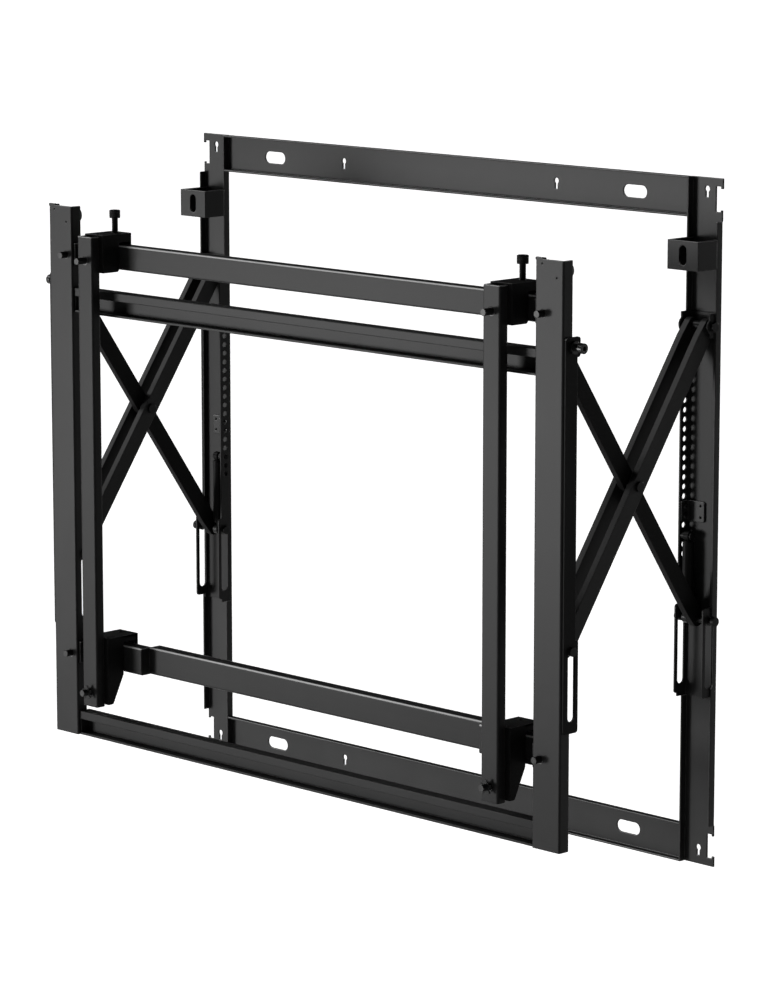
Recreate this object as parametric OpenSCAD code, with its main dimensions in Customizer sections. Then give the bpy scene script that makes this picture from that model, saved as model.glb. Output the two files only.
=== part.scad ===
// Pop-out wall mount for a large screen. A frame bolts to the wall, two scissor
// pairs carry a second frame in front of it, and two upright rails with studs
// hang on that frame and hold the screen. Modelled popped out. Millimetres.
// The origin is the centre of the four wall slots, on the wall. +Z is up and
// the room lies towards -Y.

/* [Wall frame] */
// Width of the wall frame over its posts
frame_w = 644; // [600:1:700]
// Height of the wall frame
frame_h = 596; // [580:1:620]
// Width of a wall post
wall_post_w = 34; // [34:1:36]
// Height of the top and bottom rails of the wall frame
wall_rail_h = 34; // [30:1:38]
// Depth of the folded edges of the wall frame
wall_edge_d = 7.5; // [6:0.5:8]
// Sheet of the wall frame and its brackets
wall_sheet = 1.5; // [1.2:0.1:1.5]
// Distance between the wall slots, across
slot_gap_x = 448; // [400:1:480]
// Distance between the wall slots, up
slot_gap_z = 561; // [555:1:570]
// Length of a wall slot
slot_len = 27; // [20:1:34]
// Height of a wall slot
slot_h = 11; // [8:0.5:12]

/* [Spacer boxes] */
// Height of a spacer box
box_h = 25; // [20:1:28]
// Middle of a spacer box above the origin
box_z = 234.2; // [230:0.1:238]
// Distance from the wall to the front of a spacer box
box_y = 32; // [28:0.5:32]

/* [Scissor] */
// Height of the upper pivots above the origin
pivot_z = 173; // [170:0.5:175]
// Distance from the wall to the wall pivots
pivot_y = 10; // [10:0.5:11]
// Length of an arm from pin to pin
arm_len = 307.7; // [300:0.1:312]
// Angle between an arm and the wall with the mount popped out
open_angle = 34.79; // [32:0.01:36]
// Width of an arm
arm_w = 15.5; // [14:0.5:16]
// Thickness of an arm
arm_t = 6; // [5:0.5:6]
// Diameter of the pivot pins and slide pins
pin_d = 6; // [5:0.5:6]
// Travel of the slide pins down their slots, popped out to closed
slide_travel = 53.9; // [50:0.1:56]

/* [Perforated strip] */
// Distance between the holes of the strip
hole_pitch = 8.3; // [8:0.1:9]
// Diameter of a hole
hole_d = 5; // [4:0.5:5.5]
// Number of holes
hole_count = 20; // [10:1:20]
// Height of the lowest hole above the origin
first_hole_z = -25.5; // [-30:0.5:-20]

/* [Front frame] */
// Width of the front frame over its posts
front_w = 640.6; // [600:0.1:680]
// Width of a front post
front_post_w = 31.1; // [31:0.1:33]
// Depth of a front post
front_post_d = 11.1; // [10:0.1:12]
// Top of the front posts above the origin
front_top = 244; // [240:1:248]
// Bottom of the front posts
front_bottom = -250; // [-256:1:-248]
// Sheet of the front frame
front_sheet = 2; // [1.5:0.1:2]
// Height of a cross rail of the front frame
cross_rail_h = 22.4; // [20:0.1:22.4]

/* [Display bars and rails] */
// Distance between the middles of the display rails
rail_gap = 508; // [480:1:516]
// Width of a display rail
rail_w = 19.5; // [18:0.5:22]
// Depth of a display rail
rail_d = 9; // [8:0.5:10]
// Top of the display rails above the origin
rail_top = 220.4; // [215:0.1:225]
// Bottom of the display rails
rail_bottom = -215; // [-220:1:-213]
// Distance between the two studs of a display rail
stud_gap = 400; // [400:1:400]
// Diameter of the display studs
stud_d = 6; // [5:0.5:6]
// Diameter of the head of a height screw
screw_head_d = 10; // [8:0.5:12]

/* [Hidden] */

// Finishes
coat = [0.16, 0.16, 0.17];
coat_dark = [0.10, 0.10, 0.11];
zinc = [0.55, 0.56, 0.58];
rubber = [0.07, 0.07, 0.08];

// Clearances
turn_gap = 0.05;
slot_gap = 0.15;

// Wall frame
post_out = frame_w / 2;
post_in = post_out - wall_post_w;
top = frame_h / 2;
edge_top = 261.5;
window_top = pivot_z + 11;
window_bottom = -150;
bend_r = 1.5;
notch_x = 7.3;
notch_in = 269.4;
notch_out = 291;

// Scissor. Popped out, an upper wall pivot, the crossing and a lower wall pin
// are the corners of an isosceles triangle, and so are the front ones.
pivot_r = pin_d / 2;
bore_r = pivot_r + turn_gap;
wall_y = -pivot_y;
front_y = wall_y - arm_len * sin(open_angle);
cross_y = (wall_y + front_y) / 2;
cross_z = pivot_z - arm_len * cos(open_angle) / 2;
slide_z = pivot_z - arm_len * cos(open_angle);
slide_low = slide_z - slide_travel;
arm_end_r = 6.6;
arm_taper = 14;
mid_x = 305;
arm_gap = 3;
mid_in = mid_x - arm_t / 2;
mid_out = mid_x + arm_t / 2;
outer_in = mid_out + arm_gap;
outer_out = outer_in + arm_t;
inner_out = mid_in - arm_gap;
inner_in = inner_out - arm_t;
head_r = 4.6;

// Slots for the rollers on the slide pins
roller_r = 4;
slot_r = roller_r + slot_gap;
slot_top = slide_z + slot_r;
slot_bottom = slide_low - slot_r - 1.5;
free_r = roller_r + 0.8;

// Wall bracket
strip_front = -13.8;
plate_front = -17.4;
ear_r = 6.9;
bracket_in = post_in;
bracket_out = post_out - wall_sheet;
plate_top = slide_z + 11;
plate_bottom = -147;
perf_y = -8.2;

// Struts
strut_x = 296.5;
strut_r = 5;
strut_rod_r = 2.3;
eye_w = 5;
strut_eye_z = -9;
strut_top = -13;
strut_bottom = -73;
strut_stud_r = 2;
rod_len = 63;
anchor_h = 18;
anchor_right_hole = 4;

// Front frame
post_face = -196.5;
post_back = post_face + front_post_d;
front_out = front_w / 2;
front_in = front_out - front_post_w;
bracket_t = 2;
lug_r = 8.4;
bracket_neck = -181;
bracket_back = -177.4;
lip_face = -194;
web_back = -182.5;
cross_top_z = 169.6;
cross_low_z = -227.6;
lip_h = 7.8;

// Display bars
bar_face = -182.7;
bar_back = -170.3;
bar_sheet = 2;
bar_top_z = 211.5;
bar_top_h = 22.3;
bar_low_z = -159.3;
bar_low_h = 25.2;
step_x = 215;
step_d = 10.4;
tab_h = 20;

// Display rails and their hooks
rail_face = -211.3;
rail_back = rail_face + rail_d;
rail_sheet = 2;
hook_w = 25;
hook_top = 222;
hook_foot = 187.5;
hook_plate_back = -183.4;
hook_lip = -168.3;
hook_gap = 2.5;
low_top = -150.3;
low_lip = -165.5;
low_foot = -213;
stud_high = 198.8;
stud_low = stud_high - stud_gap;
stud_out = 10;
stud_neck_r = 3.4;
star_gap = 3.2;
star_t = 1;
star_r = 6.4;
post_stud_x = 297.4;
post_stud_out = 7.3;
screw_y = -176.9;
screw_r = 2.9;
pad_h = 2.8;
pad_r = 4.4;

// Small general shapes

// A rectangle with round corners
module round_rect(x0, y0, x1, y1, r) {
  translate([x0 + r, y0]) square([x1 - x0 - 2 * r, y1 - y0]);
  translate([x0, y0 + r]) square([x1 - x0, y1 - y0 - 2 * r]);
  for (x = [x0 + r, x1 - r], y = [y0 + r, y1 - r]) translate([x, y]) circle(r = r, $fn = 32);
}

// An upright slot with round ends
module upright_slot(x, y0, y1, r) {
  translate([x - r, y0 + r]) square([2 * r, y1 - y0 - 2 * r]);
  for (y = [y0 + r, y1 - r]) translate([x, y]) circle(r = r, $fn = 48);
}

// Cross-section of a folded channel: the web lies along x from y = 0, and the
// edges are folded towards +y
module channel_2d(w, d, t) {
  difference() {
    union() {
      translate([bend_r, 0]) square([w - 2 * bend_r, d]);
      translate([0, bend_r]) square([w, d - bend_r]);
      for (x = [bend_r, w - bend_r]) translate([x, bend_r]) circle(r = bend_r, $fn = 32);
    }
    translate([t, t]) square([w - 2 * t, d]);
  }
}

// A plate across X: its outline is drawn in Y and Z
module plate_x(x0, x1) {
  translate([x0, 0, 0]) rotate([90, 0, 90]) linear_extrude(height = x1 - x0) children();
}

// A plate across Y, between two distances in front of the wall: its outline
// is drawn in X and Z
module plate_y(y0, y1) {
  translate([0, y1, 0]) rotate([90, 0, 0]) linear_extrude(height = y1 - y0) children();
}

// A round bar along X
module bar_x(x0, x1, y, z, r) {
  translate([x0, y, z]) rotate([0, 90, 0]) cylinder(r = r, h = x1 - x0, $fn = 48);
}

// A round bar along Y
module bar_y(x, y0, y1, z, r) {
  translate([x, y1, z]) rotate([90, 0, 0]) cylinder(r = r, h = y1 - y0, $fn = 48);
}

// The left side mirrors the right side
module left() {
  mirror([1, 0, 0]) children();
}

// Wall frame

// An upward arrow-shaped hanging slot
module arrow_slot(x, z) {
  plate_y(-3, 1) {
    translate([x - 1.5, z - 4.8]) square([3, 8]);
    translate([x, z + 2.4]) circle(r = 2.7, $fn = 32);
  }
}

// Hooks at one end of the outer edge of a post, for lining up the next mount
module post_hooks() {
  plate_y(-wall_sheet, 0) {
    translate([post_out - notch_x, notch_out]) square([notch_x + 0.4, top - notch_out]);
    translate([post_out - 1.8, notch_out - 2]) square([2.2, 3]);
    translate([post_out - notch_x, edge_top]) square([notch_x - 0.2, notch_in - edge_top]);
    translate([post_out - 2, notch_in - 1]) square([1.8, 2.6]);
  }
}

module wall_post() {
  color(coat) {
    difference() {
      translate([post_in, 0, -top]) linear_extrude(height = frame_h)
        mirror([0, 1]) channel_2d(wall_post_w, wall_edge_d, wall_sheet);
      for (s = [-1, 1]) {
        translate([post_out - notch_x, -10, s > 0 ? edge_top : -top - 1])
          cube([notch_x + 1, 11, top - edge_top + 1]);
      }
      translate([post_in - 1, -10, window_bottom])
        cube([wall_sheet + 1.01, 10 - wall_sheet, window_top - window_bottom]);
      for (s = [-1, 1]) arrow_slot(post_out - 17, s * 285.8);
      bar_x(post_out - 3, post_out + 1, wall_y, pivot_z, pivot_r + 0.4);
      plate_x(post_out - 3, post_out + 1)
        upright_slot(wall_y, slot_bottom - 1, slot_top + 1, free_r);
    }
    post_hooks();
    mirror([0, 0, 1]) post_hooks();
  }
}

module wall_rail(z) {
  color(coat) difference() {
    translate([-post_in, 0, z]) rotate([90, 0, 90]) linear_extrude(height = 2 * post_in)
      mirror([1, 0]) rotate(90) mirror([0, 1]) channel_2d(wall_rail_h, wall_edge_d, wall_sheet);
    for (x = [-1, 1]) plate_y(-3, 1) {
      mid = z + wall_rail_h / 2;
      side = z > 0 ? slot_gap_z / 2 : -slot_gap_z / 2;
      flat = slot_len - slot_h;
      translate([x * slot_gap_x / 2 - flat / 2, side - slot_h / 2]) square([flat, slot_h]);
      for (e = [-1, 1]) translate([x * slot_gap_x / 2 + e * flat / 2, side])
        circle(r = slot_h / 2, $fn = 48);
    }
    for (x = [-1, 1]) arrow_slot(x * 132.4, z + wall_rail_h / 2);
  }
}

module spacer_box() {
  seat_in = post_in + wall_sheet;
  seat_out = post_out - wall_sheet;
  color(coat) difference() {
    union() {
      translate([post_in, -box_y, box_z - box_h / 2])
        cube([wall_post_w, box_y - wall_edge_d, box_h]);
      translate([seat_in, -wall_edge_d, box_z - box_h / 2])
        cube([seat_out - seat_in, wall_edge_d - wall_sheet, box_h]);
    }
    translate([seat_in + wall_sheet, -box_y + wall_sheet, box_z - box_h])
      cube([seat_out - seat_in - 2 * wall_sheet, box_y, 2 * box_h]);
    plate_y(-box_y - 1, -box_y + 3)
      upright_slot(post_out - wall_post_w / 2, box_z - 8.5, box_z + 8.5, 4);
  }
}

// Bracket inside a wall post: it carries the upper pivot, guides the lower pin
// and has the strip of holes that the strut anchor is set on
module wall_bracket() {
  color(coat_dark) difference() {
    union() {
      translate([bracket_in, -2 * wall_sheet, window_bottom])
        cube([bracket_out - bracket_in, wall_sheet, window_top - window_bottom]);
      plate_x(bracket_in, bracket_in + wall_sheet) {
        translate([strip_front, window_bottom])
          square([-strip_front - wall_sheet, window_top - window_bottom]);
        round_rect(plate_front, plate_bottom, -wall_sheet - 0.1, plate_top, 2.5);
        translate([wall_y, pivot_z]) circle(r = ear_r, $fn = 48);
      }
      plate_x(bracket_out - wall_sheet, bracket_out) {
        translate([-wall_edge_d + 0.3, window_bottom])
          square([wall_edge_d - wall_sheet - 0.3, window_top - window_bottom]);
        round_rect(plate_front, plate_bottom, -wall_sheet - 0.1, plate_top, 2.5);
        round_rect(strip_front, pivot_z - 9.5, -wall_sheet - 0.1, window_top, 2.5);
        translate([wall_y, pivot_z]) circle(r = ear_r, $fn = 48);
      }
    }
    bar_x(bracket_in - 1, bracket_out + 1, wall_y, pivot_z, pivot_r);
    plate_x(bracket_in - 1, bracket_out + 1)
      upright_slot(wall_y, slot_bottom, slot_top, slot_r);
    for (i = [0 : hole_count - 1])
      bar_x(bracket_in - 1, bracket_in + 2 * wall_sheet, perf_y,
            first_hole_z + i * hole_pitch, hole_d / 2);
  }
}

// Small folded bracket screwed to two holes of the strip. Its place on the
// strip sets the pull of the strut.
module strut_anchor(hole) {
  in = bracket_in + wall_sheet;
  mid = first_hole_z + (hole + 0.5) * hole_pitch;
  web = -2 * wall_sheet;
  color(coat) difference() {
    union() {
      translate([in, web - 1.5, mid - anchor_h / 2]) cube([19, 1.5, anchor_h]);
      translate([in, -13, mid - anchor_h / 2]) cube([1.5, 13 + web, anchor_h]);
      translate([in + 17.5, -9, mid - anchor_h / 2]) cube([1.5, 9 + web, anchor_h]);
    }
    for (s = [-1, 1]) bar_y(in + 13, web - 3, web + 1, mid + s * 5, 1.2);
  }
}

module wall_pivot_pin() {
  color(zinc) {
    bar_x(bracket_in - 2, post_out + 2, wall_y, pivot_z, pivot_r);
    bar_x(inner_out + 0.2, outer_in - 0.2, wall_y, pivot_z, pivot_r + 1.2);
    bar_x(bracket_in - 2, bracket_in, wall_y, pivot_z, head_r - 0.4);
    bar_x(post_out, post_out + 2, wall_y, pivot_z, head_r - 0.4);
  }
}

module strut_stud() {
  color(zinc) {
    bar_x(bracket_in + wall_sheet, strut_x + eye_w / 2 + 2, wall_y, strut_eye_z, strut_stud_r);
    bar_x(strut_x + eye_w / 2 + 0.3, strut_x + eye_w / 2 + 2, wall_y, strut_eye_z, 3.2);
    bar_x(bracket_in + wall_sheet, strut_x - eye_w / 2 - 0.3, wall_y, strut_eye_z, 3.2);
  }
}

// Pull strut: the body hangs on its stud, and the rod comes out below
module strut_body() {
  color(coat_dark) difference() {
    union() {
      translate([strut_x, wall_y, strut_bottom])
        cylinder(r = strut_r, h = strut_top - strut_bottom - 1, $fn = 64);
      translate([strut_x, wall_y, strut_top - 1])
        cylinder(r1 = strut_r, r2 = strut_r - 1, h = 1, $fn = 64);
      translate([strut_x, wall_y, strut_top - 0.5])
        cylinder(r = 1.9, h = strut_eye_z - strut_top - 2, $fn = 32);
      bar_x(strut_x - eye_w / 2, strut_x + eye_w / 2, wall_y, strut_eye_z, 4.2);
    }
    bar_x(strut_x - eye_w, strut_x + eye_w, wall_y, strut_eye_z, strut_stud_r + turn_gap);
    translate([strut_x, wall_y, strut_bottom - 1])
      cylinder(r = strut_rod_r + turn_gap, h = strut_top - strut_bottom - 1, $fn = 48);
  }
}

module strut_rod() {
  color(zinc) difference() {
    union() {
      translate([strut_x, wall_y, slide_z + 4])
        cylinder(r = strut_rod_r, h = rod_len - 4, $fn = 48);
      bar_x(strut_x - eye_w / 2, strut_x + eye_w / 2, wall_y, slide_z, 5.2);
    }
    bar_x(strut_x - eye_w, strut_x + eye_w, wall_y, slide_z, bore_r);
  }
}

module wall_slide_pin() {
  color(zinc) {
    bar_x(bracket_in - 3.5, post_out + 5, wall_y, slide_z, pivot_r);
    bar_x(bracket_in - 3.5, bracket_in - 1, wall_y, slide_z, 4);
    bar_x(post_out + 3, post_out + 6.5, wall_y, slide_z, 4);
  }
}

// A roller on a slide pin
module roller(x0, x1, y) {
  difference() {
    bar_x(x0, x1, y, slide_z, roller_r);
    bar_x(x0 - 1, x1 + 1, y, slide_z, bore_r);
  }
}

module wall_rollers() {
  color(rubber) {
    roller(bracket_in - 0.7, bracket_in + wall_sheet + 0.5, wall_y);
    roller(bracket_out - wall_sheet - 0.5, bracket_out + 0.7, wall_y);
  }
}

// Scissor arms

// Flat bar with round, narrowed ends and three bores
module arm_2d() {
  half = arm_len / 2;
  full = half - arm_taper;
  difference() {
    union() {
      polygon([
        [-arm_w / 2, -full], [-arm_end_r, -half], [arm_end_r, -half], [arm_w / 2, -full],
        [arm_w / 2, full], [arm_end_r, half], [-arm_end_r, half], [-arm_w / 2, full]
      ]);
      for (s = [-1, 1]) translate([0, s * half]) circle(r = arm_end_r, $fn = 48);
    }
    for (s = [-1, 0, 1]) translate([0, s * half]) circle(r = bore_r, $fn = 48);
  }
}

// An arm at its place across the mount; lean is -1 for the outer and inner
// arms, which rise to the wall, and 1 for the middle arm, which rises to the front
module arm(x0, lean) {
  color(coat) plate_x(x0, x0 + arm_t)
    translate([cross_y, cross_z]) rotate(lean * open_angle) arm_2d();
}

module cross_pin() {
  color(zinc) {
    bar_x(inner_in - 2.2, outer_out + 2.2, cross_y, cross_z, pivot_r);
    bar_x(inner_in - 2.2, inner_in, cross_y, cross_z, head_r);
    bar_x(outer_out, outer_out + 2.2, cross_y, cross_z, head_r);
  }
}

module front_slide_pin() {
  color(zinc) {
    bar_x(front_in - 3, front_out + 4.5, front_y, slide_z, pivot_r);
    bar_x(front_in - 3, front_in - 1, front_y, slide_z, 4);
    bar_x(front_out + bracket_t + 0.8, front_out + 4.5, front_y, slide_z, 4);
  }
}

// Washers at the crossing and the spacer tube between the lower ends
module arm_spacers() {
  color(zinc) difference() {
    union() {
      bar_x(inner_out + 0.1, mid_in - 0.1, cross_y, cross_z, 6);
      bar_x(mid_out + 0.1, outer_in - 0.1, cross_y, cross_z, 6);
      bar_x(inner_out + 0.1, outer_in - 0.1, front_y, slide_z, pivot_r + 1.4);
    }
    bar_x(inner_in, outer_out, cross_y, cross_z, bore_r);
    bar_x(inner_in, outer_out, front_y, slide_z, bore_r);
  }
}

module front_rollers() {
  color(rubber) {
    roller(front_in - 0.5, front_in + front_sheet + 0.5, front_y);
    roller(front_out - 0.3, front_out + bracket_t + 0.4, front_y);
  }
}

// Front frame

// Outline of the side plate that carries the front pivot and guides the pin
module side_plate_2d(front) {
  difference() {
    union() {
      translate([front, slide_z - 50]) square([bracket_neck - front, pivot_z - slide_z + 50]);
      round_rect(front, plate_bottom - 2, bracket_back, slide_z + 9, 2.5);
      round_rect(front, pivot_z - lug_r, bracket_back, pivot_z + lug_r, 2.5);
    }
    translate([front_y, pivot_z]) circle(r = pivot_r, $fn = 48);
    upright_slot(front_y, slot_bottom, slot_top, slot_r);
  }
}

// Both front posts are the same part, so they aren't mirrored
module front_post(x0) {
  inner = x0 < 0 ? x0 + front_post_w - front_sheet : x0;
  outer = x0 < 0 ? x0 : x0 + front_post_w - front_sheet;
  color(coat) difference() {
    union() {
      translate([x0, post_face, front_bottom]) linear_extrude(height = front_top - front_bottom)
        channel_2d(front_post_w, front_post_d, front_sheet);
      translate([x0, post_face, front_top - 1]) cube([8, front_sheet, 2.4]);
      plate_x(inner, inner + front_sheet) side_plate_2d(post_face + front_sheet);
    }
    plate_x(inner - 1, inner + front_sheet + 1) {
      translate([front_y, pivot_z]) circle(r = pivot_r, $fn = 48);
      upright_slot(front_y, slot_bottom, slot_top, slot_r);
    }
    plate_x(outer - 1, outer + front_sheet + 1) {
      translate([front_y, pivot_z]) circle(r = pivot_r, $fn = 48);
      upright_slot(front_y, slot_bottom - 1, slot_top + 1, free_r);
    }
    bar_y(x0 + 7.5, post_face - 1, post_face + 3, 240.3, 0.9);
    bar_y(x0 + 23.8, post_face - 1, post_face + 3, 229.5, 0.9);
    for (s = [-1, 1], z = [-173, 199.5])
      bar_y(s * post_stud_x, post_face - 1, post_face + 3, z, stud_neck_r);
  }
}

module front_bracket() {
  color(coat_dark) plate_x(front_out, front_out + bracket_t) side_plate_2d(post_face + 1.5);
}

// Rail with a folded lip along its upper front edge
module cross_rail(z) {
  web = web_back - front_sheet;
  color(coat) plate_x(-front_in, front_in) {
    round_rect(lip_face, z - lip_h, lip_face + front_sheet, z, 0.6);
    translate([lip_face + 0.6, z - front_sheet])
      square([web_back - lip_face - 0.6, front_sheet]);
    translate([web, z - cross_rail_h]) square([front_sheet, cross_rail_h]);
    translate([lip_face, z - cross_rail_h]) square([web_back - lip_face, front_sheet]);
  }
}

module front_pivot_pin() {
  color(zinc) difference() {
    union() {
      bar_x(front_in, front_out + 11, front_y, pivot_z, pivot_r);
      bar_x(front_in + front_sheet, mid_in - 0.2, front_y, pivot_z, pivot_r + 1.2);
      bar_x(mid_out + 0.2, front_out - front_sheet, front_y, pivot_z, pivot_r + 1.2);
      bar_x(front_out + bracket_t, front_out + bracket_t + 2.4, front_y, pivot_z, 5.4);
      bar_x(front_out + 9, front_out + 13.5, front_y, pivot_z, 4.4);
    }
    translate([front_out + 11, front_y, pivot_z]) rotate([0, 90, 0])
      cylinder(r = 2.2, h = 4, $fn = 6);
  }
}

module post_stud(x, z) {
  bar_y(x, post_face - post_stud_out, post_face + front_sheet, z, stud_d / 2);
  bar_y(x, post_face, post_face + front_sheet + 0.5, z, stud_neck_r);
  bar_y(x, post_face + front_sheet, post_face + front_sheet + 2.5, z, 5);
}

module bumper(x) {
  color(rubber) {
    bar_y(x, post_face + front_sheet, post_back + 0.5, box_z + 1, 3);
    translate([x, post_back + 0.2, box_z + 1]) rotate([-90, 0, 0])
      cylinder(r1 = 5, r2 = 4, h = 2.2, $fn = 48);
  }
}

// End tab of a display bar, fastened to the inner edge of a front post
module bar_tab(z_mid) {
  for (x = [-front_in, front_in - bar_sheet]) translate([x, lip_face, z_mid - tab_h / 2])
    cube([bar_sheet, bar_face + bar_sheet - lip_face, tab_h]);
}

module bar_section(face, h, z) {
  translate([face, z - h]) rotate(90) mirror([0, 1]) channel_2d(h, bar_back - bar_face, bar_sheet);
}

module display_bar_upper() {
  color(coat) {
    plate_x(-front_in, front_in) bar_section(bar_face, bar_top_h, bar_top_z);
    bar_tab(bar_top_z - bar_top_h / 2);
  }
}

// The lower bar steps back between the display rails
module display_bar_lower() {
  color(coat) {
    for (s = [-1, 1]) plate_x(s > 0 ? step_x : -front_in, s > 0 ? front_in : -step_x)
      bar_section(bar_face, bar_low_h, bar_low_z);
    plate_x(-step_x, step_x) bar_section(bar_face + step_d, bar_low_h, bar_low_z);
    for (x = [-step_x - bar_sheet, step_x])
      translate([x, bar_face + 1, bar_low_z - bar_low_h + 1])
        cube([bar_sheet, bar_back - bar_face - 1, bar_low_h - 2]);
    bar_tab(bar_low_z - bar_low_h / 2);
  }
}

// Display rails. Left and right are the same parts, set side by side, so their
// modules take the X of the rail's left face.

module display_rail(x0) {
  color(coat) difference() {
    translate([x0, rail_face, rail_bottom]) linear_extrude(height = rail_top - rail_bottom)
      channel_2d(rail_w, rail_d, rail_sheet);
    for (z = [stud_low, stud_high])
      bar_y(x0 + rail_w / 2, rail_face - 1, rail_face + 3, z, stud_neck_r);
  }
}

module upper_hook(x0) {
  t = 2;
  color(coat) difference() {
    union() {
      for (x = [x0, x0 + hook_w - t]) plate_x(x, x + t) {
        translate([rail_back, hook_foot]) square([4, hook_top - hook_foot]);
        round_rect(rail_back, hook_foot, hook_plate_back, hook_top, 2.6);
        translate([rail_back, bar_top_z + hook_gap])
          square([hook_lip - rail_back, hook_top - bar_top_z - hook_gap]);
      }
      translate([x0, rail_back, hook_top - t]) cube([hook_w, hook_lip - rail_back, t]);
      translate([x0, rail_back, hook_foot]) cube([hook_w, t, hook_top - hook_foot]);
      translate([x0, bar_back + 0.3, bar_top_z - 11])
        cube([hook_w, hook_lip - bar_back - 0.3, hook_top - bar_top_z + 11]);
    }
    translate([x0 + hook_w / 2, screw_y, bar_top_z]) cylinder(r = screw_r + turn_gap, h = 20, $fn = 48);
  }
}

module lower_hook(x0) {
  t = 2;
  slope_z = bar_low_z - bar_low_h - 2;
  color(coat) {
    for (x = [x0, x0 + hook_w - t]) plate_x(x, x + t) {
      polygon([
        [rail_back, low_top], [hook_plate_back, low_top], [hook_plate_back, slope_z],
        [-196, low_foot + 0.6], [-198, low_foot], [rail_back, low_foot]
      ]);
      translate([rail_back, low_top - t]) square([low_lip - rail_back, t]);
    }
    translate([x0, rail_back, low_top - t]) cube([hook_w, low_lip - rail_back, t]);
    translate([x0, rail_back, low_foot]) cube([hook_w, t, low_top - low_foot]);
    translate([x0, low_lip - t, low_top - 18]) cube([hook_w, t, 18]);
  }
}

// Studs for the screen, each with its head inside the rail. The neck of the
// lower one reaches out to the star washer.
module rail_studs(x0) {
  x = x0 + rail_w / 2;
  color(zinc) for (z = [stud_low, stud_high]) {
    neck_end = z == stud_low ? rail_face - star_gap - star_t - 0.1 : rail_face;
    bar_y(x, rail_face - stud_out, rail_face + rail_sheet, z, stud_d / 2);
    bar_y(x, neck_end, rail_face + rail_sheet + 0.5, z, stud_neck_r);
    bar_y(x, rail_face + rail_sheet, rail_face + rail_sheet + 3, z, 5);
  }
}

// Push-on star washer that the back of the screen meets on the lower stud
module star_washer(x0) {
  color(coat_dark) plate_y(rail_face - star_gap - star_t, rail_face - star_gap)
    translate([x0 + rail_w / 2, stud_low]) difference() {
      union() {
        circle(r = stud_neck_r + 1, $fn = 32);
        for (i = [0 : 4]) rotate(90 + i * 72) translate([0, -1]) square([star_r, 2]);
      }
      circle(r = stud_neck_r, $fn = 48);
    }
}

module screw_pad(x0) {
  color(zinc) translate([x0 + hook_w / 2, screw_y, bar_top_z]) cylinder(r = pad_r, h = pad_h, $fn = 48);
}

module height_screw(x0) {
  tip = bar_top_z + pad_h;
  color(coat_dark) translate([x0 + hook_w / 2, screw_y, 0]) {
    translate([0, 0, tip]) cylinder(r = screw_r, h = 235.6 - tip, $fn = 48);
    translate([0, 0, 235.4]) cylinder(r = screw_head_d / 2, h = 7.2, $fn = 48);
  }
}

left_post = -front_out;
right_post = front_in;
left_rail = -rail_gap / 2 - rail_w / 2;
right_rail = rail_gap / 2 - rail_w / 2;

left() wall_post();  // wall_post_left
wall_post();  // wall_post_right
wall_rail(top - wall_rail_h);  // wall_rail_top
wall_rail(-top);  // wall_rail_bottom
left() spacer_box();  // spacer_box_left
spacer_box();  // spacer_box_right
left() wall_bracket();  // wall_bracket_left
wall_bracket();  // wall_bracket_right
left() strut_anchor(anchor_right_hole + 1);  // strut_anchor_left
strut_anchor(anchor_right_hole);  // strut_anchor_right
union() { wall_pivot_pin(); left() wall_pivot_pin(); }  // wall_pivot_pins
union() { strut_stud(); left() strut_stud(); }  // strut_studs
left() strut_body();  // strut_body_left
strut_body();  // strut_body_right
left() arm(outer_in, -1);  // arm_outer_left
left() arm(inner_in, -1);  // arm_inner_left
left() cross_pin();  // cross_pin_left
left() front_slide_pin();  // front_slide_pin_left
left() arm_spacers();  // arm_spacers_left
left() front_rollers();  // front_rollers_left
arm(outer_in, -1);  // arm_outer_right
arm(inner_in, -1);  // arm_inner_right
cross_pin();  // cross_pin_right
front_slide_pin();  // front_slide_pin_right
arm_spacers();  // arm_spacers_right
front_rollers();  // front_rollers_right
left() arm(mid_in, 1);  // arm_middle_left
arm(mid_in, 1);  // arm_middle_right
left() wall_slide_pin();  // wall_slide_pin_left
left() strut_rod();  // strut_rod_left
left() wall_rollers();  // wall_rollers_left
wall_slide_pin();  // wall_slide_pin_right
strut_rod();  // strut_rod_right
wall_rollers();  // wall_rollers_right
front_post(left_post);  // front_post_left
front_post(right_post);  // front_post_right
cross_rail(cross_top_z);  // cross_rail_top
cross_rail(cross_low_z);  // cross_rail_bottom
left() front_bracket();  // front_bracket_left
front_bracket();  // front_bracket_right
union() { front_pivot_pin(); left() front_pivot_pin(); }  // front_pivot_pins
color(zinc) for (x = [-1, 1], z = [-173, 199.5]) post_stud(x * post_stud_x, z);  // post_studs
union() { bumper(left_post + 23.3); bumper(right_post + 23.3); }  // bumpers
display_bar_upper();
display_bar_lower();
screw_pad(left_rail);  // screw_pad_left
screw_pad(right_rail);  // screw_pad_right
height_screw(left_rail);  // height_screw_left
height_screw(right_rail);  // height_screw_right
display_rail(left_rail);  // display_rail_left
upper_hook(left_rail);  // upper_hook_left
lower_hook(left_rail);  // lower_hook_left
rail_studs(left_rail);  // rail_studs_left
star_washer(left_rail);  // star_washer_left
display_rail(right_rail);  // display_rail_right
upper_hook(right_rail);  // upper_hook_right
lower_hook(right_rail);  // lower_hook_right
rail_studs(right_rail);  // rail_studs_right
star_washer(right_rail);  // star_washer_right
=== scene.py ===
import math

import bmesh
import bpy
from bmesh.types import BMEdge, BMFace, BMVert
from mathutils import Matrix, Vector


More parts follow.
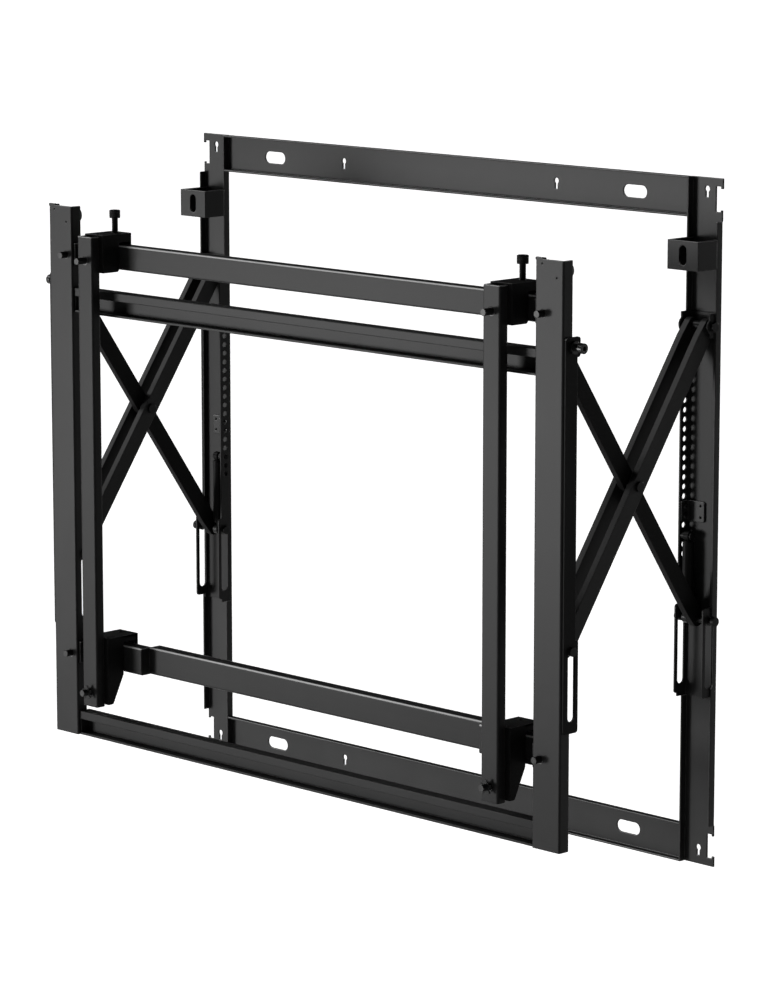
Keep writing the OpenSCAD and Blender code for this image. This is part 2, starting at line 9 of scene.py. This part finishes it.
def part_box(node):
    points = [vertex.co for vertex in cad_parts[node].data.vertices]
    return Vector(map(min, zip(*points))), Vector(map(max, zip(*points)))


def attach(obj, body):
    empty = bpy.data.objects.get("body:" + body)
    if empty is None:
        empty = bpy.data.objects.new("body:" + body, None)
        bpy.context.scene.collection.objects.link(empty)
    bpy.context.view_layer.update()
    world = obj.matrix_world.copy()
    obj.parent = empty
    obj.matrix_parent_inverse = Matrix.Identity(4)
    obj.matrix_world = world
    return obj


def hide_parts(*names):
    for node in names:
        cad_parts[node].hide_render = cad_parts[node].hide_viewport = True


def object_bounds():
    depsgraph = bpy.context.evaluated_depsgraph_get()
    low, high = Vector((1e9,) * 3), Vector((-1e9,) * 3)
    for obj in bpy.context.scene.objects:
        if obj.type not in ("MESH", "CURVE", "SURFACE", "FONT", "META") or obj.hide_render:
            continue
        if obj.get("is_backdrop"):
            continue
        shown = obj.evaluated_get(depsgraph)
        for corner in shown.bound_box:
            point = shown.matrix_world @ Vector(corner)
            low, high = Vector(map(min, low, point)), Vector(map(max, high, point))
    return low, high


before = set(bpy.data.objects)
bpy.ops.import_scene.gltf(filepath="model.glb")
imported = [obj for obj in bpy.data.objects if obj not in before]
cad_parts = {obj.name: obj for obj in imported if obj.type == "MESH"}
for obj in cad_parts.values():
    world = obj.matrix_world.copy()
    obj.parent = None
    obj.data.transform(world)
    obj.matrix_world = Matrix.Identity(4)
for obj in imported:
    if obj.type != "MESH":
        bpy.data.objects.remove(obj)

MM = 0.001
SIDES = {"left": -1, "right": 1}

scene = bpy.context.scene
scene.view_settings.view_transform = "Standard"
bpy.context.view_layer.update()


# Materials

# Grain of each noise, in lumps per metre
PEBBLE_GRAIN = 1500
PEEL_GRAIN = 330
CLOUD_GRAIN = 14
EDGE_WEAR_AND_HIGHLIGHT_GRAIN = 120
RING_GRAIN = 90
MARK_GRAIN = 160
STIPPLE_GRAIN = 2200
SPECK_GRAIN = 700


class Amount:
    """A number that varies over a surface. Arithmetic on it adds Math nodes."""

    def __init__(self, finish, socket):
        self.finish = finish
        self.socket = socket

    def _math(self, operation, first, second):
        return self.finish.add("Math", {"operation": operation}, {0: first, 1: second})

    def __add__(self, other):
        return self._math("ADD", self, other)

    def __radd__(self, other):
        return self._math("ADD", other, self)

    def __sub__(self, other):
        return self._math("SUBTRACT", self, other)

    def __rsub__(self, other):
        return self._math("SUBTRACT", other, self)

    def __mul__(self, other):
        return self._math("MULTIPLY", self, other)

    def __rmul__(self, other):
        return self._math("MULTIPLY", other, self)


class Finish:
    """A material for the mount, built from nodes on Object coordinates."""

    def __init__(self, name):
        self.material = bpy.data.materials.new(name)
        self.material.use_nodes = True
        self.tree = self.material.node_tree
        self.tree.nodes.clear()
        self.place = self.add("TexCoord", output="Object")

    def add(self, kind, settings=None, sockets=None, output=0):
        """Adds a node: its settings first, then the values or links of its sockets."""
        node = self.tree.nodes.new("ShaderNode" + kind)
        for name, value in (settings or {}).items():
            setattr(node, name, value)
        for key, value in (sockets or {}).items():
            if isinstance(value, Amount):
                self.tree.links.new(value.socket, node.inputs[key])
            else:
                node.inputs[key].default_value = value
        return Amount(self, node.outputs[output]) if node.outputs else node

    def noise(self, grain, detail, stretch=(1, 1, 1)):
        """Noise from 0 to 1 of a grain in lumps per metre. A stretch makes it finer along an axis."""
        spread = self.add("Mapping", None, {"Vector": self.place, "Scale": stretch})
        return self.add("TexNoise", None, {"Vector": spread, "Scale": grain, "Detail": detail})

    def ramp(self, amount, low, high, start=0.0, end=1.0):
        """Start where the amount is at low, end where it is at high, and smooth between."""
        settings = {"interpolation_type": "SMOOTHSTEP"}
        levels = {"Value": amount, "From Min": low, "From Max": high, "To Min": start, "To Max": end}
        return self.add("MapRange", settings, levels)

    def mix(self, amount, first, second):
        """A colour between two colours."""
        return self.add("Mix", {"data_type": "RGBA"}, {0: amount, 6: first, 7: second}, 2)

    def rounded(self, radius):
        """The normal of the surface with its edges rounded off."""
        return self.add("Bevel", {"samples": 6}, {"Radius": radius})

    def alignment(self, normal, direction):
        """1 where a normal lies along a direction, 0 where they are square to each other."""
        return self.add("VectorMath", {"operation": "DOT_PRODUCT"}, {0: normal, 1: direction}, "Value")

    def edges(self, rounded):
        """1 on a rounded-off edge and 0 away from it."""
        flat = self.add("NewGeometry", output="True Normal")
        return self.ramp(self.alignment(rounded, flat), 0.98, 0.80)

    def top_edge_highlight(self, rounded):
        """1 on a rounded-off edge that faces up, where a highlight is painted."""
        up = self.alignment(rounded, (0, 0, 1))
        return self.ramp(up, 0.12, 0.40) * self.ramp(up, 0.985, 0.90)

    def bumpy(self, height, depth, normal):
        """The normal over a height from 0 to 1 that is depth metres deep."""
        relief = {"Strength": 1.0, "Distance": depth, "Height": height, "Normal": normal}
        return self.add("Bump", None, relief)

    def surface(self, **sockets):
        """Closes the material with one Principled BSDF."""
        named = {name.replace("_", " "): value for name, value in sockets.items()}
        shader = self.add("BsdfPrincipled", None, named)
        self.add("OutputMaterial", None, {"Surface": shader})
        return self.material


def grey(level, warm=0.0):
    return (level * (1 + warm), level, level * (1 - warm), 1)


def powder_coat(name, shade, edge, roughness, edge_radius, level, top_highlight_shade=None):
    """Satin black powder coat: a fine pebble over a slow orange peel, thinner on edges. The edges are
    painted paler in patches, partly as wear and partly as a painted highlight.

    Where a highlight shade is given, a painted highlight makes edges that face up paler still.
    """
    relief = 0.012 * MM
    coat = Finish(name)
    rounded = coat.rounded(edge_radius)
    pebble = coat.noise(PEBBLE_GRAIN, detail=2.0)
    peel = coat.noise(PEEL_GRAIN, detail=1.0)
    cloud = coat.noise(CLOUD_GRAIN, detail=3.0)
    # Edges painted paler in patches: partly wear, partly painted highlight.
    edge_wear_and_highlight = coat.edges(rounded) * coat.ramp(coat.noise(EDGE_WEAR_AND_HIGHLIGHT_GRAIN, detail=3.0), 0.35, 0.62)
    base = coat.mix(coat.ramp(cloud, 0.3, 0.7), grey(shade * 0.86), grey(shade * 1.14))
    base = coat.mix(edge_wear_and_highlight, base, grey(edge))
    # Painted highlight: edges that face up are painted paler, as if lit from above.
    if top_highlight_shade:
        patches = coat.ramp(cloud, 0.1, 0.5, start=0.7)
        base = coat.mix(coat.top_edge_highlight(rounded) * patches, base, grey(top_highlight_shade))
    return coat.surface(
        Base_Color=base,
        Roughness=roughness + 0.05 * (cloud - 0.5) + 0.06 * (pebble - 0.5) - 0.04 * edge_wear_and_highlight,
        Specular_IOR_Level=level,
        Normal=coat.bumpy(0.6 * peel + 0.4 * pebble, relief, rounded),
    )


def turned_steel(name, axis, shade, roughness, level):
    """Dark turned steel: fine tool rings across the pin's axis, and faint handling marks. Edges are
    painted paler, partly as wear and partly as a painted highlight.
    """
    edge_radius = 0.5 * MM
    relief = 0.006 * MM
    steel = Finish(name)
    rounded = steel.rounded(edge_radius)
    ring_stretch = [60.0 if number == axis else 1.0 for number in range(3)]
    mark_stretch = [9.0 if number == axis else 1.0 for number in range(3)]
    rings = steel.noise(RING_GRAIN, detail=3.0, stretch=ring_stretch)
    marks = steel.noise(MARK_GRAIN, detail=4.0, stretch=mark_stretch)
    # Edges painted paler: partly wear, partly painted highlight.
    edge_wear_and_highlight = steel.edges(rounded)
    base = steel.mix(steel.ramp(marks, 0.35, 0.7), grey(shade * 0.8), grey(shade * 1.25))
    return steel.surface(
        Base_Color=steel.mix(0.7 * edge_wear_and_highlight, base, grey(shade * 2.2)),
        Roughness=roughness + 0.12 * (rings - 0.5) + 0.08 * (marks - 0.5),
        Specular_IOR_Level=level,
        Normal=steel.bumpy(rings, relief, rounded),
    )


def moulded(name, shade, roughness, level, relief):
    """Moulded nylon or rubber: a fine even stipple and a few pale, warm specks."""
    edge_radius = 0.35 * MM
    speck_shade = grey(shade * 2.4, warm=0.03)
    stuff = Finish(name)
    rounded = stuff.rounded(edge_radius)
    stipple = stuff.noise(STIPPLE_GRAIN, detail=2.0)
    dust = stuff.ramp(stuff.noise(SPECK_GRAIN, detail=3.0), 0.66, 0.74)
    return stuff.surface(
        Base_Color=stuff.mix(0.5 * dust, grey(shade), speck_shade),
        Roughness=roughness + 0.1 * (stipple - 0.5),
        Specular_IOR_Level=level,
        Normal=stuff.bumpy(stipple, relief, rounded),
    )


# All coats are one black powder coat. Their shades are set apart from part to part to paint light and
# shade: the wall coat is a lit copy, and the box, rail, middle and matt coats are shaded copies.
# Coats: shade, shade on edges, roughness, edge radius, specular level, shade of the painted highlight on
# top edges
sheet_coat = powder_coat("sheet_coat", 0.015, 0.036, 0.36, 1.1 * MM, 0.043, 0.24)
wall_lit_coat = powder_coat("wall_lit_coat", 0.0165, 0.039, 0.36, 1.1 * MM, 0.050, 0.24)
box_shaded_coat = powder_coat("box_shaded_coat", 0.006, 0.026, 0.36, 1.1 * MM, 0.058, 0.24)
rail_shaded_coat = powder_coat("rail_shaded_coat", 0.0128, 0.039, 0.36, 1.7 * MM, 0.036, 0.39)
cross_coat = powder_coat("cross_coat", 0.0128, 0.036, 0.36, 0.8 * MM, 0.036)
arm_coat = powder_coat("arm_coat", 0.0142, 0.037, 0.39, 0.7 * MM, 0.040)
middle_shaded_coat = powder_coat("middle_shaded_coat", 0.006, 0.022, 0.40, 0.7 * MM, 0.0175)
bracket_coat = powder_coat("bracket_coat", 0.0128, 0.031, 0.39, 0.6 * MM, 0.039)
matt_shaded_coat = powder_coat("matt_shaded_coat", 0.0068, 0.015, 0.44, 0.6 * MM, 0.017, 0.15)

# Steels: number of the pin's axis, shade, roughness, specular level
pin_steel = turned_steel("pin_steel", 0, 0.012, 0.24, 0.112)
# A shaded copy of the pin steel: darker and less glossy, to paint the shade on the pin ends.
shaded_pin_steel = turned_steel("shaded_pin_steel", 0, 0.0075, 0.36, 0.042)
stud_steel = turned_steel("stud_steel", 1, 0.0105, 0.33, 0.077)
rod_steel = turned_steel("rod_steel", 2, 0.012, 0.34, 0.07)
screw_black = turned_steel("screw_black", 2, 0.0068, 0.42, 0.039)

# Mouldings: shade, roughness, specular level, depth of the stipple
roller_nylon = moulded("roller_nylon", 0.0105, 0.5, 0.07, 0.008 * MM)
buffer_rubber = moulded("buffer_rubber", 0.018, 0.62, 0.14, 0.012 * MM)

# Which nodes have which finish, by how their names start. All others are coated sheet.
FINISHES = (
    (arm_coat, ("arm_outer", "arm_inner")),
    (middle_shaded_coat, ("arm_middle", "strut_body")),
    (wall_lit_coat, ("wall_post", "wall_rail")),
    (box_shaded_coat, ("spacer_box",)),
    (rail_shaded_coat, ("display_",)),
    (cross_coat, ("cross_rail",)),
    (bracket_coat, ("wall_bracket", "star_washer")),
    (matt_shaded_coat, ("front_bracket", "lower_hook", "upper_hook")),
    (pin_steel, ("arm_spacers", "front_pivot_pins")),
    (shaded_pin_steel, ("wall_pivot_pins", "cross_pin", "front_slide_pin", "wall_slide_pin", "strut_studs")),
    (stud_steel, ("post_studs", "rail_studs")),
    (rod_steel, ("strut_rod", "screw_pad")),
    (roller_nylon, ("front_rollers", "wall_rollers")),
)


def finish_of(node_name):
    for finish, starts in FINISHES:
        if node_name.startswith(starts):
            return finish
    return sheet_coat


for node_name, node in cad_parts.items():
    for material_slot in node.material_slots:
        material_slot.material = finish_of(node_name)


# Places, in millimetres

def box_mm(node_name):
    """Lowest and highest corner of a CAD node."""
    low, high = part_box(node_name)
    return low / MM, high / MM


def middle(node_name):
    low, high = box_mm(node_name)
    return (low + high) / 2


def at(x, y, z, axis="Z"):
    """A place for a form whose own Z is turned to lie along an axis."""
    turn = {
        "Z": Matrix(),
        "X": Matrix.Rotation(math.pi / 2, 4, "Y"),
        "Y": Matrix.Rotation(-math.pi / 2, 4, "X"),
    }[axis]
    return Matrix.Translation((x * MM, y * MM, z * MM)) @ turn


def mirrored(sign):
    """Turns a place on the right side into the same place on the left where sign is -1."""
    return Matrix.Diagonal((sign, 1, 1, 1))


# Forms and pieces

def only(kind, parts):
    """The vertices, edges or faces among the parts that an operator made."""
    return [part for part in parts if isinstance(part, kind)]


def extruded(mesh, geom, along):
    """Extrudes faces along a vector in millimetres. Returns the parts that this makes."""
    made = bmesh.ops.extrude_face_region(mesh, geom=geom)["geom"]
    bmesh.ops.translate(mesh, verts=only(BMVert, made), vec=Vector(along) * MM)
    return made


def raised(mesh, face, rise, scale=1.0):
    """Extrudes a flat face upwards, scales it about the axis and returns the new top face."""
    made = extruded(mesh, [face, *face.edges], (0, 0, rise))
    bmesh.ops.scale(mesh, verts=only(BMVert, made), vec=(scale, scale, 1))
    return only(BMFace, made)[0]


def join(target, form):
    """Adds a finished form to a mesh."""
    data = bpy.data.meshes.new("form")
    form.to_mesh(data)
    form.free()
    target.from_mesh(data)
    bpy.data.meshes.remove(data)


def placed(target, place, build):
    """Builds a small form and adds it to a mesh at a place."""
    form = bmesh.new()
    build(form)
    bmesh.ops.transform(form, matrix=place, verts=form.verts)
    join(target, form)


def make_piece(mesh, name, body, material):
    """Sets a finished mesh in the scene and lets it ride on a body of the mount."""
    sharp_from = math.radians(35)
    bmesh.ops.recalc_face_normals(mesh, faces=mesh.faces)
    data = bpy.data.meshes.new(name)
    mesh.to_mesh(data)
    mesh.free()
    data.materials.append(material)
    data.shade_smooth()
    data.set_sharp_from_angle(angle=sharp_from)
    piece = bpy.data.objects.new(name, data)
    scene.collection.objects.link(piece)
    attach(piece, body)
    return piece


# Parts of small fasteners, about their own Z axis

def turned(form, outline, steps=36):
    """Turns an outline of (radius, height) pairs about Z. It starts and ends on the axis."""
    points = [form.verts.new((radius * MM, 0, height * MM)) for radius, height in outline]
    chain = [form.edges.new(pair) for pair in zip(points, points[1:])]
    bmesh.ops.spin(form, geom=points + chain, cent=(0, 0, 0), axis=(0, 0, 1), dvec=(0, 0, 0),
                   angle=math.tau, steps=steps, use_merge=True, use_duplicate=False)
    bmesh.ops.remove_doubles(form, verts=form.verts, dist=1e-7)


def thread_ridge(form, core, crest, low, high, pitch):
    """Winds one unbroken right-hand ridge round a core, from one height to another."""
    steps_a_turn = 18
    half = 0.46 * pitch
    half_crest = 0.2 * pitch
    root = core - 0.15
    profile = [(root, -half), (crest, -half_crest), (crest, half_crest), (root, half)]
    points = [form.verts.new((radius * MM, 0, (low + half + rise) * MM)) for radius, rise in profile]
    loop = [form.edges.new(pair) for pair in zip(points, points[1:] + points[:1])]
    steps = round((high - low - 2 * half) / pitch * steps_a_turn)
    wound = bmesh.ops.spin(form, geom=points + loop, cent=(0, 0, 0), axis=(0, 0, 1),
                           dvec=(0, 0, pitch / steps_a_turn * MM),
                           angle=math.tau * steps / steps_a_turn, steps=steps)
    bmesh.ops.holes_fill(form, edges=loop + only(BMEdge, wound["geom_last"]), sides=4)


def knurled_head(form, radius, low, height):
    """A screw head with a plain collar, a straight knurl and a bevelled top. Returns its top."""
    ridges = 30
    points = 4 * ridges
    foot, waist, valley, rim = 0.97, 0.95, 0.955, 0.9
    chamfer_h, collar_h, groove_h, bevel_h = 0.15, 1.0, 0.2, 0.5
    ring = bmesh.ops.create_circle(form, cap_ends=True, segments=points, radius=foot * radius * MM,
                                   matrix=at(0, 0, low))
    face = ring["verts"][0].link_faces[0]
    face = raised(form, face, chamfer_h, 1 / foot)
    face = raised(form, face, collar_h)
    face = raised(form, face, groove_h, waist)
    face = raised(form, face, groove_h, 1 / waist)
    for vert in face.verts:
        number = round(math.atan2(vert.co.y, vert.co.x) / math.tau * points)
        if number % 4 < 2:
            vert.co.xy *= valley
    face = raised(form, face, height - chamfer_h - collar_h - 2 * groove_h - bevel_h)
    return raised(form, face, bevel_h, rim)


def hex_socket(form, face, across, depth):
    """Sinks a hexagon socket into a flat round face whose corners are a multiple of six."""
    rim = 0.1 * MM
    side_angle = math.pi / 3
    bmesh.ops.inset_region(form, faces=[face], thickness=rim)
    for vert in face.verts:
        angle = math.atan2(vert.co.y, vert.co.x)
        from_middle = (angle + side_angle / 2) % side_angle - side_angle / 2
        reach = across / 2 * MM / math.cos(from_middle)
        vert.co.xy = reach * math.cos(angle), reach * math.sin(angle)
    raised(form, face, -depth)


def flat_top(form, height):
    """Joins the faces that lie flat at a height into one face."""
    level = [face for face in form.faces
             if all(abs(vert.co.z - height * MM) < 1e-6 for vert in face.verts)]
    return bmesh.ops.dissolve_faces(form, faces=level)["region"][0]


# Height screws: each turns in the top of a hook and stands on its pad

def height_screw(form, low, high):
    core, crest, pitch = 2.6, 2.9, 1.0
    chamfer, sunk = 0.5, 0.2
    head_r, head_h = 5.0, 7.2
    head_low = high - head_h
    turned(form, [(0, low), (core - chamfer, low), (core, low + chamfer),
                  (core, head_low + sunk), (0, head_low + sunk)])
    thread_ridge(form, core, crest, low + 0.4, head_low - 0.1, pitch)
    hex_socket(form, knurled_head(form, head_r, head_low, head_h), across=4.0, depth=3.5)


for side in SIDES:
    low, high = box_mm(f"height_screw_{side}")
    place = at(middle(f"upper_hook_{side}").x, (low.y + high.y) / 2, 0)
    screw = bmesh.new()
    placed(screw, place, lambda form: height_screw(form, low.z, high.z))
    piece = make_piece(screw, f"height_screw_thread_{side}", f"screw_{side}", screw_black)
    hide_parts(f"height_screw_{side}")


# Lock screws: a headless screw in the top of each lower hook, over the bar

LOCK_SCREW_FROM_BACK = 7.5


def lock_screw(form):
    proud = 0.5
    turned(form, [(0, -5), (1.7, -5), (2.2, -4.4), (2.2, proud - 0.25), (1.95, proud), (0, proud)])
    hex_socket(form, flat_top(form, proud), across=2.0, depth=1.6)


for side in SIDES:
    hook_low, hook_high = box_mm(f"lower_hook_{side}")
    rail_middle = middle(f"display_rail_{side}")
    lock = bmesh.new()
    placed(lock, at(rail_middle.x, hook_high.y - LOCK_SCREW_FROM_BACK, hook_high.z), lock_screw)
    make_piece(lock, f"lock_screw_{side}", f"hanging_rail_{side}", screw_black)


# Rubber bumpers behind the tops of the front posts: a stem with a soft round foot

CAD_BUMPER_R = 5


def bumper(form):
    turned(form, [(0, 0), (3, 0), (3, 9.3), (6.6, 9.3), (7, 9.8), (7, 11.2), (6.7, 12.0), (5.9, 12.5),
                  (2.6, 12.5), (1.9, 11.6), (0, 11.4)], steps=48)


low, high = box_mm("bumpers")
feet = bmesh.new()
for x in (low.x + CAD_BUMPER_R, high.x - CAD_BUMPER_R):
    placed(feet, at(x, low.y, (low.z + high.z) / 2, "Y"), bumper)
piece = make_piece(feet, "bumper_feet", "front_frame", buffer_rubber)
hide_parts("bumpers")


# Screws that hold the strut anchors on two neighbouring holes of the perforated strips

HOLE_PITCH = 8.3
HOLE_ROW_Y = -8.2
ANCHOR_SHEET = 1.5
anchor_low, anchor_high = box_mm("strut_anchor_right")
anchor_half_h = (anchor_high.z - anchor_low.z) / 2


def anchor_screw(form):
    head_h = 1.6
    turned(form, [(0, -3.6), (1.1, -3.5), (1.9, -3.1), (2.35, -2.7), (2.35, 0), (2.7, 0), (2.8, 0.4),
                  (2.4, 1.3), (1.5, head_h), (0, head_h)])
    hex_socket(form, flat_top(form, head_h), across=1.8, depth=1.0)


for side, sign in SIDES.items():
    level = middle(f"strut_anchor_{side}").z
    pair = bmesh.new()
    for hole_z in (level - HOLE_PITCH / 2, level + HOLE_PITCH / 2):
        place = mirrored(sign) @ at(anchor_low.x + ANCHOR_SHEET, HOLE_ROW_Y, hole_z, "X")
        placed(pair, place, anchor_screw)
    make_piece(pair, f"anchor_screws_{side}", "wall_frame", pin_steel)


# Flat plates across X: end tabs of the cross rails, and cheeks of the lower hooks

TAB_SHEET = 1.4
TAB_CORNER_R = 1.5
TAB_EDGE_GAP = 0.6
CHEEK_SHEET = 2
CHEEK_CORNER_R = 1.0
CHEEK_D = 18.4
CHEEK_H = 5.8


def plate(target, x, thickness, y_range, z_range, corner_r):
    """Adds a plate with round corners that reaches from x to x + thickness."""
    form = bmesh.new()
    (y0, y1), (z0, z1) = y_range, z_range
    corners = [(x, y0, z0), (x, y1, z0), (x, y1, z1), (x, y0, z1)]
    face = form.faces.new([form.verts.new(Vector(corner) * MM) for corner in corners])
    bmesh.ops.bevel(form, geom=list(face.verts), affect="VERTICES", offset=corner_r * MM, segments=4,
                    profile=0.5, material=-1)
    extruded(form, form.faces[:], (thickness, 0, 0))
    join(target, form)


for level in ("top", "bottom"):
    rail_low, rail_high = box_mm(f"cross_rail_{level}")
    y_range = (rail_low.y + TAB_EDGE_GAP, rail_high.y - 0.1)
    z_range = (rail_low.z + TAB_EDGE_GAP, rail_high.z - TAB_EDGE_GAP)
    for side, sign in SIDES.items():
        tab = bmesh.new()
        plate(tab, sign * rail_high.x, -sign * TAB_SHEET, y_range, z_range, TAB_CORNER_R)
        make_piece(tab, f"cross_rail_tab_{level}_{side}", "front_frame", sheet_coat)

for side in SIDES:
    hook_low, hook_high = box_mm(f"lower_hook_{side}")
    back = hook_high.y - 0.1
    top = hook_high.z - 0.3
    cheeks = bmesh.new()
    for x in (hook_low.x, hook_high.x - CHEEK_SHEET):
        plate(cheeks, x, CHEEK_SHEET, (back - CHEEK_D, back), (top - CHEEK_H, top), CHEEK_CORNER_R)
    make_piece(cheeks, f"lower_hook_cheeks_{side}", f"hanging_rail_{side}", matt_shaded_coat)


# Strut anchors: an angle bracket with a tab on the strip and two holes in its web

def anchor_web(form, inner, outer, y, half_h):
    """The front web: its outline with two holes, filled and given its thickness."""
    corner_r = 2.0
    corner_steps = 6
    hole_r, hole_from_edge, hole_z = 1.2, 4.1, 5
    outline = [(inner, half_h), (inner, -half_h)]
    for turn, centre_z in ((-1, corner_r - half_h), (0, half_h - corner_r)):
        for step in range(corner_steps + 1):
            angle = math.pi / 2 * (turn + step / corner_steps)
            outline.append((outer - corner_r + corner_r * math.cos(angle),
                            centre_z + corner_r * math.sin(angle)))
    points = [form.verts.new((x * MM, y * MM, z * MM)) for x, z in outline]
    for pair in zip(points, points[1:] + points[:1]):
        form.edges.new(pair)
    for z in (-hole_z, hole_z):
        bmesh.ops.create_circle(form, cap_ends=False, segments=24, radius=hole_r * MM,
                                matrix=at(outer - hole_from_edge, y, z, "Y"))
    filled = bmesh.ops.triangle_fill(form, use_beauty=True, edges=form.edges[:])["geom"]
    extruded(form, only(BMFace, filled), (0, ANCHOR_SHEET, 0))


def strut_anchor(form):
    """A right anchor at level 0. The web is 0.5 mm wider than the CAD anchor."""
    anchor_web(form, inner=anchor_low.x + 0.7, outer=anchor_high.x + 0.5, y=anchor_high.y - ANCHOR_SHEET,
               half_h=anchor_half_h - 0.05)
    plate(form, anchor_low.x, ANCHOR_SHEET, (anchor_low.y, anchor_high.y - 0.05),
          (-anchor_half_h, anchor_half_h), corner_r=1.5)


for side, sign in SIDES.items():
    level = middle(f"strut_anchor_{side}").z
    bracket = bmesh.new()
    placed(bracket, at(0, 0, level) @ mirrored(sign), strut_anchor)
    piece = make_piece(bracket, f"strut_anchor_angle_{side}", "wall_frame", sheet_coat)
    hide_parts(f"strut_anchor_{side}")


# Floor, in metres

FLOOR_LEVEL = -1.5
FLOOR_HALF_W = 60
FLOOR_SHADE = 0.8
FLOOR_GLOW = 0.75


def light_path_white(finish, strength):
    """Emission that the camera, glossy and transmission rays see."""
    camera_ray, glossy_ray, transmission_ray = (
        finish.add("LightPath", output=f"Is {kind} Ray") for kind in ("Camera", "Glossy", "Transmission"))
    seen = finish.add("Math", {"operation": "MAXIMUM"}, {0: camera_ray, 1: glossy_ray})
    seen = finish.add("Math", {"operation": "MAXIMUM"}, {0: seen, 1: transmission_ray})
    return finish.add("Emission", None, {"Color": grey(1.0), "Strength": strength * seen})


def make_floor():
    sheet = bmesh.new()
    bmesh.ops.create_grid(sheet, x_segments=8, y_segments=8, size=FLOOR_HALF_W)
    bmesh.ops.translate(sheet, vec=(0, 0, FLOOR_LEVEL), verts=sheet.verts)
    data = bpy.data.meshes.new("studio_floor")
    sheet.to_mesh(data)
    sheet.free()
    paint = Finish("pale_floor")
    matt = paint.add("BsdfDiffuse", None, {"Color": grey(FLOOR_SHADE)})
    both = paint.add("AddShader", None, {0: matt, 1: light_path_white(paint, FLOOR_GLOW)})
    paint.add("OutputMaterial", None, {"Surface": both})
    data.materials.append(paint.material)
    floor = bpy.data.objects.new("studio_floor", data)
    scene.collection.objects.link(floor)
    floor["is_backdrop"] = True


make_floor()


# World and lamps, in metres and degrees

LIT_PLACE = Vector((0, -0.1, 0))
BROAD_LAMP_DISTANCE = 4
WORLD_SHADE = 0.035


def aim(azimuth, elevation):
    """Direction to a lamp. Azimuth turns from the room side, -Y, towards -X."""
    turn, rise = math.radians(azimuth), math.radians(elevation)
    return Vector((-math.sin(turn) * math.cos(rise), -math.cos(turn) * math.cos(rise), math.sin(rise)))


def add_lamp(name, data, towards, distance):
    lamp = bpy.data.objects.new(name, data)
    lamp.location = LIT_PLACE + towards * distance
    lamp.rotation_euler = towards.to_track_quat("Z", "Y").to_euler()
    lamp.visible_camera = False
    scene.collection.objects.link(lamp)


def soft_lamp(name, azimuth, elevation, distance, width, level):
    """A round lamp. At level 1 a white surface that faces it renders white."""
    data = bpy.data.lights.new(name, "AREA")
    data.shape = "DISK"
    data.size = width
    data.energy = level * (math.pi * distance) ** 2
    add_lamp(name, data, aim(azimuth, elevation), distance)


def broad_lamp(name, azimuth, elevation, spread, level):
    """A lamp that lights everything alike, wherever it stands. Its level is as a soft lamp's."""
    data = bpy.data.lights.new(name, "SUN")
    data.energy = level * math.pi
    data.angle = math.radians(spread)
    add_lamp(name, data, aim(azimuth, elevation), BROAD_LAMP_DISTANCE)


soft_lamp("key_lamp", azimuth=41.2, elevation=-5.5, distance=3.7, width=1.15, level=1.05)
broad_lamp("top_lamp", azimuth=66, elevation=40, spread=26, level=0.55)
broad_lamp("rear_lamp", azimuth=180, elevation=-2, spread=36, level=1.4)
broad_lamp("left_lamp", azimuth=112, elevation=-2, spread=30, level=0.7)

studio = bpy.data.worlds.new("studio")
studio.use_nodes = True
studio.node_tree.nodes["Background"].inputs["Color"].default_value = grey(WORLD_SHADE)
scene.world = studio


# Camera, fitted to straight edges of the mount in the photograph

camera_data = bpy.data.cameras.new("photo_view")
camera_data.sensor_width = 36
camera_data.lens = 145.66
camera_data.clip_start = 0.1
camera_data.clip_end = 200
camera = bpy.data.objects.new("photo_view", camera_data)
camera.location = (2.5184, -2.5982, 0.6218)
camera.rotation_euler = (math.radians(80), 0, math.radians(45))
scene.collection.objects.link(camera)
scene.camera = camera

low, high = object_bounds()
